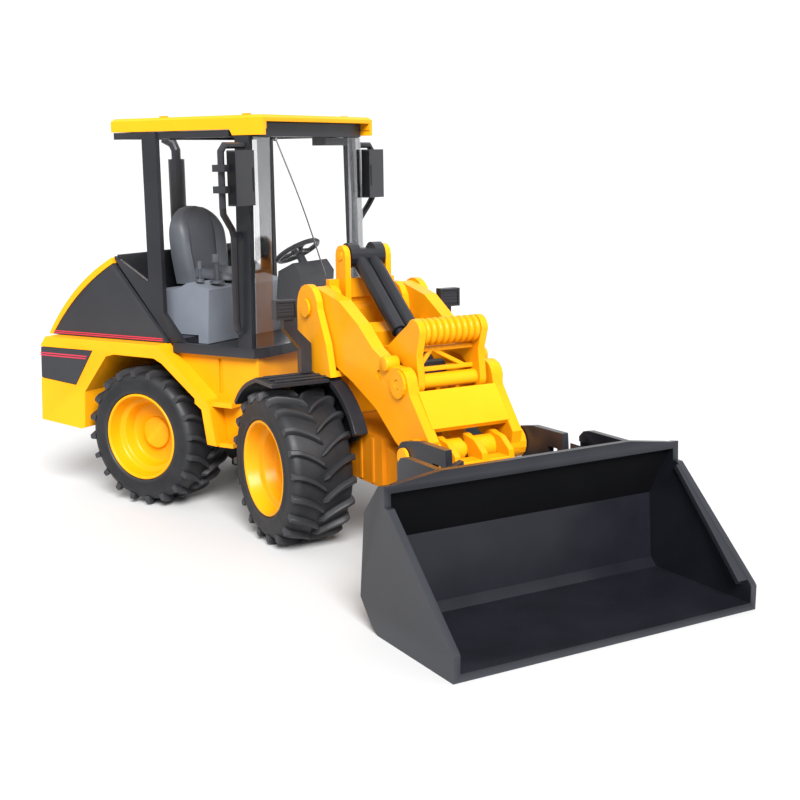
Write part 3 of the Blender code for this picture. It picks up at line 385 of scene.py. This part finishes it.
def tyre(name, at, side, place):
    """A chunky tyre: crowned sidewalls with a bead ring, and curved rounded lugs."""
    bm = bmesh.new()
    inset = [(20.7, 0.5), (21.3, 0.0), (22.6, 0.2), (23.2, 0.5), (26.5, 0.1), (28.6, 0.7), (29.9, 2.2),
             (30.4, 4.5)]
    wall = [(radius, TYRE_HALF - gap) for radius, gap in inset]
    profile = [(r, TYRE_MIDDLE + d) for r, d in wall] + [(30.7, TYRE_MIDDLE)]
    profile += [(r, TYRE_MIDDLE - d) for r, d in reversed(wall)]
    add_turned(bm, profile, at, side, 120)
    for hand in (-1, 1):
        for n in range(LUGS):
            start = 360.0 * (n + (0.5 if hand < 0 else 0.0)) / LUGS
            rings = []
            for reach, lead, width, foot, top in lug_stations(hand):
                flank = [(foot, width * 1.15), (top - 0.5, width), (top, width * 0.62)]
                section = flank + [(radius, -w) for radius, w in reversed(flank)]
                turns = [(radius, radians(start + lead) + w / radius) for radius, w in section]
                y = side * TYRE_MIDDLE + reach
                rings.append([(at[0] + radius * cos(t), y, at[1] + radius * sin(t)) for radius, t in turns])
            add_loft(bm, rings)
    finish_mesh("tread_" + name, bm, place, "wheel_" + name, "tyre_rubber",
                stands_for=("tyre_" + name,), angle=40)


def rim(name, at, side, place):
    """A deep dished wheel with a rolled lip, two steps and a hub disc."""
    bm = bmesh.new()
    lip = [(20.5, 25.4), (20.5, 52.4), (20.2, 52.9), (19.7, 53.0), (19.2, 52.7), (18.95, 52.0),
           (17.9, 47.6), (17.5, 46.9), (16.9, 46.6), (15.8, 46.3), (15.3, 45.7), (14.5, 41.2),
           (14.1, 40.6), (13.4, 40.3), (8.1, 40.3), (7.75, 40.5), (7.6, 41.5), (7.3, 41.9), (6.8, 42.05)]
    profile = lip + [(0.02, 42.05), (0.02, 37.0), (14.0, 37.0), (18.9, 44.5), (18.9, 25.4)]
    add_turned(bm, profile, at, side, 96)
    finish_mesh("wheel_disc_" + name, bm, place, "wheel_" + name, "yellow_plastic",
                stands_for=("rim_" + name, "hub_cap_" + name), angle=50)


def wheels():
    """Four tyres on their rims."""
    for end, place in (("rear", REAR), ("front", FRONT)):
        for side in (-1, 1):
            centre = local(end + "_wheel_" + side_name(side), place)
            for build in (tyre, rim):
                build(end + "_" + side_name(side), (centre.x, centre.z), side, place)


# ---------------------------------------------------------------- cab and body trim

def stripes():
    """Twin red lines along the foot of the hood panels and across the counterweight panels."""
    hood_line, panel_line = 0.45, 0.55
    for side in (-1, 1):
        name = side_name(side)
        bm = bmesh.new()
        for low in (78.1, 79.0):
            add_box(bm, -120.8, -50.6, *both(side, 45.6, 45.82), low, low + hood_line)
        finish_mesh("hood_stripes_" + name, bm, REAR, "rear_half", "red_decal")
        bm = bmesh.new()
        for low in (67.8, 68.9):
            slanted_end = -90.2 - (72.0 - low) * 0.694
            add_box(bm, -123.0, slanted_end, *both(side, 52.8, 52.98), low, low + panel_line)
        finish_mesh("panel_stripes_" + name, bm, REAR, "rear_half", "red_decal")


def wiper():
    """A slim wiper across the windshield, and its pivot."""
    bm = bmesh.new()
    x, y, z = 7.2, -31.5, 169.0
    route = [(x, y, z), (x, -12.6, 139.0), (x, 4.5, 106.5)]
    add_tube(bm, smooth_route(route, 4), 0.34, 8)
    add_rod(bm, (6.0, y, z), (7.6, y, z), 0.8, 16, 0.2)
    finish_mesh("wiper", bm, REAR, "rear_half", "pin_steel")


def add_seat_back(bm):
    """A tall back with two bolsters and seams beside them, which narrows to a round crown."""
    foot, crown, shoulder = 101.5, 138.4, 126.0
    rows, across = 18, 20
    seam_at = 0.58
    rings = []
    for i in range(rows + 1):
        rise = i / rows
        z = foot + (crown - foot) * (1 - (1 - rise) ** 1.25)
        over = max(0.0, (z - shoulder) / (crown - shoulder))
        half = (14.6 + 2.2 * sin(pi * min(1.0, rise * 1.1))) * (1 - over ** 2.4) ** 0.5 + 0.25
        lean = -61.5 - 3.2 * rise - 2.0 * over ** 2
        front, back = [], []
        for k in range(across + 1):
            u = -1 + 2 * k / across
            bolster = max(0.0, (abs(u) - seam_at) / (1 - seam_at))
            swell = 4.6 * sin(pi * min(1.0, bolster * 0.9)) * (1 - over) * (1 - 0.5 * rise)
            seam = -0.9 * max(0.0, 1 - abs(abs(u) - seam_at) / 0.07) * (1 - over)
            front.append((lean + swell + seam + 1.2 * (1 - u * u), u * half, z))
            back.append((lean - 5.6 - 1.8 * (1 - u * u) + 1.5 * over, u * half, z))
        rings.append(front + list(reversed(back)))
    add_loft(bm, rings)


def add_cushion(bm):
    """A dished cushion with raised sides and a rounded nose."""
    rear, length = -63.5, 27.0
    rows, across = 12, 14
    rings = []
    for i in range(rows + 1):
        run = i / rows
        x = rear + length * run
        nose = max(0.0, (run - 0.75) / 0.25)
        top, under = [], []
        for k in range(across + 1):
            u = -1 + 2 * k / across
            rim_rise = 1.4 * max(0.0, (abs(u) - 0.55) / 0.45) ** 0.7
            round_off = (1 - abs(u) ** 6) ** 0.5
            half = 12.2 * (1 - 0.35 * nose ** 3)
            high = 109.2 - 2.4 * run - 2.6 * nose ** 2.5
            low = 105.0 - 1.4 * run
            top.append((x, u * half, low + (high - low + rim_rise) * max(0.25, round_off)))
            under.append((x, u * half, low))
        rings.append(top + list(reversed(under)))
    add_loft(bm, rings)


def seat():
    """The seat, a hard moulding."""
    bm = bmesh.new()
    add_seat_back(bm)
    add_cushion(bm)
    finish_mesh("seat_moulding", bm, REAR, "rear_half", "seat_plastic",
                stands_for=("seat",), angle=48)


# ---------------------------------------------------------------- linkage

TILT = local("bucket_tilt", FRONT)
LINK_END = local("tilt_link_turn", FRONT)
LINK_ARM = LINK_END - TILT     # from a pivot of the parallelogram to the end of its short arm
GRIP = (TILT.x + 0.8, TILT.z + 19.5)
CROSS_BAR_R = 3.0
EAR_R = 2.8


def crank():
    """Two shaped plates with a braced frame between them and a ribbed grip on top."""
    tilt = (TILT.x, TILT.z)
    plate = [(119.4, 96.8), (113.5, 93.2), (104.6, 87.4), (98.9, 86.2), (98.6, 84.6), (99.8, 83.1),
             (113.4, 82.0), (117.2, 79.6), (118.6, 77.0)]
    plate += arc(tilt, 4.9, 180, 360, 16) + [(127.4, 82.0), (126.9, 86.0)]
    plate += arc(GRIP, 5.3, 0, 120, 12)
    bm = bmesh.new()
    for side in (-1, 1):
        add_side(bm, plate, *both(side, 12.5, 15.6))
        arm = [(tilt[0] - 2.0, tilt[1] + 2.6), (LINK_END.x - 2.5, LINK_END.z + 1.2)]
        arm += arc((LINK_END.x, LINK_END.z), EAR_R, 160, 320, 10) + [(tilt[0] + 1.5, tilt[1] - 2.6)]
        add_side(bm, arm, *both(side, 3.4, 5.4))
    x0, x1 = 120.6, 122.8
    add_box(bm, x0, x1, -12.8, 12.8, 86.2, 88.2)
    add_box(bm, x0, x1, -12.8, 12.8, 78.4, 80.2)
    for a, b in (((-12.6, 79.2), (-6.0, 87.2)), ((-6.0, 87.2), (9.5, 79.2))):
        along = (Vector(b) - Vector(a)).normalized() * 0.85
        across = Vector((-along.y, along.x))
        quad = [Vector(a) - across, Vector(b) - across, Vector(b) + across, Vector(a) + across]
        add_loft(bm, [[(x, q.x, q.y) for q in quad] for x in (x0 + 0.2, x1 - 0.2)])
    finish_mesh("crank_frame", bm, FRONT, "crank", "yellow_plastic", bevel=0.45, stands_for=("tilt_crank",))
    bm = bmesh.new()
    half, ribs, samples = 12.6, 9, 10
    profile = [(0.05, -half)]
    for n in range(ribs * samples + 1):
        phase = n / samples
        swell = abs(sin(pi * phase)) ** 0.6
        profile.append((4.0 + 1.35 * swell, -half + 2 * half * n / (ribs * samples)))
    profile.append((0.05, half))
    add_turned(bm, profile, GRIP, 1, 40)
    add_rod(bm, (tilt[0], -half, tilt[1]), (tilt[0], half, tilt[1]), CROSS_BAR_R, 36)
    finish_mesh("crank_grip", bm, FRONT, "crank", "yellow_plastic", angle=60)


def coupler():
    """Three hooked plates on a barrel, a shelf between them, a back plate and the tilt link's ears."""
    hinge = local("coupler_turn", FRONT)
    at = (hinge.x, hinge.z)
    foot = [(144.6, 54.6), (150.6, 50.4), (151.2, 46.6), (158.0, 43.0), (166.8, 39.0), (163.2, 16.0),
            (160.0, 16.0), (152.0, 36.0), (140.0, 42.4)]
    bm = bmesh.new()
    for side in (-1, 1):
        add_side(bm, arc(at, 6.2, 195, 65, 14) + foot, *both(side, 10.8, 13.4))
        ear = arc((hinge.x + LINK_ARM.x, hinge.z + LINK_ARM.z), EAR_R, 130, 320, 10)
        ear += [(at[0] + 2.0, at[1] - 3.0), (at[0] - 1.0, at[1] + 2.0)]
        add_side(bm, ear, *both(side, 3.3, 5.3))
    add_side(bm, arc(at, 6.2, 100, 65, 5) + foot[:-1] + [(143.0, 42.4)], -1.4, 1.4)
    add_box(bm, 143.6, 151.0, -13.2, 13.2, 45.6, 47.8)
    back = [(171.4, 41.0), (167.8, 12.0), (163.4, 12.0), (165.6, 30.0), (166.0, 41.0)]
    add_side(bm, back, -16.0, 16.0)
    finish_mesh("coupler_hooks", bm, FRONT, "coupler_joint", "yellow_plastic", bevel=0.4,
                stands_for=("coupler",))
    bm = bmesh.new()
    plate, link_slot, end = 1.5, 3.3, 15.2
    for side in (-1, 1):
        for near, far, radius in ((plate, link_slot, 3.1), (link_slot, end, 4.6)):
            add_rod(bm, (at[0], side * near, at[1]), (at[0], side * far, at[1]), radius, 40)
    finish_mesh("coupler_barrel", bm, FRONT, "coupler_joint", "yellow_plastic", angle=40)


def bucket_trim():
    """A dark sheet of painted shade under the guard, and a wedge-shaped edge inside the left cheek."""
    bm = bmesh.new()
    cheek = 61.2
    # Painted shade: a thin deep-black sheet just in front of the bucket's wall under the guard, where that wall
    # lies in shade.
    painted_shade_band = [(183.9, 50.9), (173.8, 31.7), (173.6, 31.5), (183.6, 50.9)]
    add_side(bm, painted_shade_band, -cheek, cheek)
    finish_mesh("bucket_painted_shade", bm, FRONT, "coupler_joint", "deep_black")
    bm = bmesh.new()
    rings = []
    for along, reach in ((0.02, 1.2), (0.5, 2.6), (0.97, 4.2)):
        x, z = 188.9 + 39.3 * along, 46.6 - 36.6 * along
        rings.append([(x, cheek + 0.1, z - 0.05), (x, cheek - reach, z - 0.05),
                      (x - 1.4, cheek - reach, z - 1.5), (x - 2.6, cheek + 0.1, z - 2.8)])
    add_loft(bm, rings)
    finish_mesh("bucket_edge", bm, FRONT, "coupler_joint", "charcoal_plastic", bevel=0.25)


def windshield_corners():
    """The curved sides of the windshield, which catch the light."""
    thickness = 0.1
    for side in (-1, 1):
        bm = bmesh.new()
        low = [(6.05, side * 36.0), (5.25, side * 39.4), (3.5, side * 45.3)]
        high = [(6.05, side * 34.5), (5.25, side * 37.2), (3.5, side * 43.0)]
        rings = []
        for z, run in ((78.4, low), (169.8, high)):
            inner = [(x - thickness, y, z) for x, y in reversed(run)]
            rings.append([(x, y, z) for x, y in run] + inner)
        add_loft(bm, rings)
        finish_mesh("windshield_corner_" + side_name(side), bm, REAR, "rear_half", "curved_glazing",
                    angle=60)


def mirror_trim():
    """The reflecting face of each mirror, with dark inlays on its sides and its back."""
    for side in (-1, 1):
        name = side_name(side)
        bm = bmesh.new()
        add_box(bm, 1.45, 1.7, *both(side, 47.6, 56.4), 143.2, 162.4)
        finish_mesh("mirror_face_" + name, bm, REAR, "mirror_" + name, "silver_face",
                    bevel=0.1)
        bm = bmesh.new()
        for edge in (59.3, 46.3):
            add_box(bm, 1.9, 6.1, *both(side, edge, edge + 0.25), 141.8, 163.6)
        add_box(bm, 6.3, 6.5, *both(side, 47.2, 48.1), 147.0, 157.0)
        finish_mesh("mirror_hollow_" + name, bm, REAR, "mirror_" + name, "deep_black")


def lamps():
    """Ribbed covers of the work lamps, and tail lamps on the counterweight."""
    rib_step, rib = 1.4, 0.5
    for side in (-1, 1):
        name = side_name(side)
        bm = bmesh.new()
        add_box(bm, 61.9, 62.2, *both(side, 36.3, 43.8), 96.1, 101.9)
        for n in range(4):
            low = 96.7 + rib_step * n
            add_box(bm, 62.0, 62.5, *both(side, 36.3, 43.8), low, low + rib)
        finish_mesh("lamp_lens_" + name, bm, FRONT, "front_half", "black_plastic", bevel=0.1)
        bm = bmesh.new()
        add_box(bm, -124.35, -122.6, *both(side, 38.0, 48.0), 60.0, 66.0)
        finish_mesh("tail_lamp_" + name, bm, REAR, "rear_half", "red_decal", bevel=0.2)


def arm_bosses():
    """Round bosses on the shoulders of the lift arm, above and behind the crank's pivot."""
    bm = bmesh.new()
    x, z = 114.4, 81.6
    for side in (-1, 1):
        add_rod(bm, (x, side * 17.4, z), (x, side * 23.6, z), 3.1, 32, 0.5)
    finish_mesh("arm_bosses", bm, FRONT, "arm", "yellow_plastic", angle=50)


def mudguards():
    """Over each front tyre: a ribbed cover on top and behind, a strip in front and a liner beside it."""
    axle = local("front_wheel_left", FRONT)
    wheel = (axle.x, axle.z)
    inner, outer = 20.9, 53.0
    under, skin = 36.2, 38.0
    for side in (-1, 1):
        bm = bmesh.new()
        cover = arc(wheel, 37.6, 140, 108, 12) + [(57.0, 71.0), (74.0, 70.6), (74.0, 68.8), (57.5, 69.0)]
        add_side(bm, cover + arc(wheel, 35.6, 108, 140, 12), *both(side, 22.0, outer))
        strip = arc(wheel, 39.0, 70, 27, 12) + arc(wheel, under, 27, 70, 12)
        add_side(bm, strip, *both(side, inner, 27.0))
        liner = arc(wheel, skin, 140, 27, 24) + arc(wheel, 20.0, 27, 140, 18)
        add_side(bm, liner, *both(side, inner, 22.4))
        crown = arc(wheel, skin, 112, 66, 10) + arc(wheel, under, 66, 112, 10)
        add_side(bm, crown, *both(side, inner, 24.0))
        for x in (60.0, 66.0, 72.0):
            add_side(bm, arc((x, 70.9), 0.9, 0, 180, 8), *both(side, 24.0, 50.5))
        name = side_name(side)
        finish_mesh("mudguard_moulding_" + name, bm, FRONT, "front_half", "black_plastic", bevel=0.3,
                    stands_for=("mudguard_" + name,))


for build_piece in (wheels, stripes, wiper, seat, crank, coupler, arm_bosses, mudguards, bucket_trim,
                    windshield_corners, mirror_trim, lamps):
    build_piece()


# ---------------------------------------------------------------- CAD nodes that stay

SLOT_OF = {row["node"]: row["material_slot"] for row in frame["record"]["subparts"]}
# The front chassis gets the yellow darkened by painted shade.
LOOK_OF = {"front_chassis": "painted_shade_yellow", "barrel_pin": "yellow_plastic",
           "lever_small": "seat_plastic", "lever_large": "seat_plastic"}
EDGE_ROUND = 0.25              # millimetres of edge rounding where EDGE_ROUNDS has no entry
EDGE_ROUNDS = {"windshield": 0.0, "rear_glazing": 0.0, "steering_wheel": 0.0, "hood_cover": 0.5,
               "roof": 1.1, "bucket": 0.5, "lift_arm": 0.6, "tower": 0.6, "rear_body": 0.7,
               "cab_frame": 0.4, "seat_base": 0.8, "front_chassis": 0.8}
for node, obj in frame["nodes"].items():
    if obj.hide_render:
        continue
    obj.data.materials.clear()
    obj.data.materials.append(MATERIALS[LOOK_OF.get(node, SLOT_OF[node])])
    width = EDGE_ROUNDS.get(node, EDGE_ROUND)
    if width:
        moulded(node, width)


# ---------------------------------------------------------------- studio

def key_light(towards, strength, spread_angle):
    """A broad, even light from one direction."""
    data = bpy.data.lights.new("key", "SUN")
    data.energy = strength
    data.angle = radians(spread_angle)
    lamp = bpy.data.objects.new("key", data)
    bpy.context.scene.collection.objects.link(lamp)
    lamp.rotation_mode = "QUATERNION"
    lamp.rotation_quaternion = Vector(towards).to_track_quat("Z", "Y")


def studio():
    """A plain pale floor under a white sky."""
    bm = bmesh.new()
    bmesh.ops.create_grid(bm, x_segments=2, y_segments=2, size=6.0)
    mesh = bpy.data.meshes.new("floor")
    bm.to_mesh(mesh)
    bm.free()
    floor = bpy.data.objects.new("floor", mesh)
    bpy.context.scene.collection.objects.link(floor)
    material, tree, shader = new_material("floor")
    colour = ramp(tree, noise(tree, 3.0), (0.43, 0.43, 0.43), (0.45, 0.45, 0.45))
    tree.links.new(colour, shader.inputs["Base Color"])
    tree.links.new(spread(tree, noise(tree, 9.0), 0.5, 0.6), shader.inputs["Roughness"])
    mesh.materials.append(material)
    world = bpy.data.worlds.new("studio")
    bpy.context.scene.world = world
    world.use_nodes = True
    sky = world.node_tree.nodes["Background"]
    sky.inputs["Color"].default_value = (1, 1, 1, 1)
    sky.inputs["Strength"].default_value = 1.06
    bpy.context.scene.view_settings.view_transform = "Standard"
    key_light(towards=(0.50, -0.60, 0.62), strength=7.9, spread_angle=28.0)


CAMERA_AT = Vector((348.85, -498.48, 161.4))
CAMERA_RIGHT = Vector((0.8587, 0.5122, -0.0139)).normalized()
CAMERA_FORWARD = Vector((-0.5055, 0.8425, -0.1863)).normalized()


def camera():
    """The camera stands ahead of the machine on its right side, a little below the roof's height."""
    data = bpy.data.cameras.new("camera")
    data.lens = 58.11
    data.sensor_width = 36.0
    data.clip_end = 20.0
    view = bpy.data.objects.new("camera", data)
    bpy.context.scene.collection.objects.link(view)
    up = CAMERA_RIGHT.cross(CAMERA_FORWARD)
    turn = Matrix((CAMERA_RIGHT, up, -CAMERA_FORWARD)).transposed().to_4x4()
    view.matrix_world = REAR @ Matrix.Translation(CAMERA_AT * MM) @ turn
    bpy.context.scene.camera = view


studio()
camera()
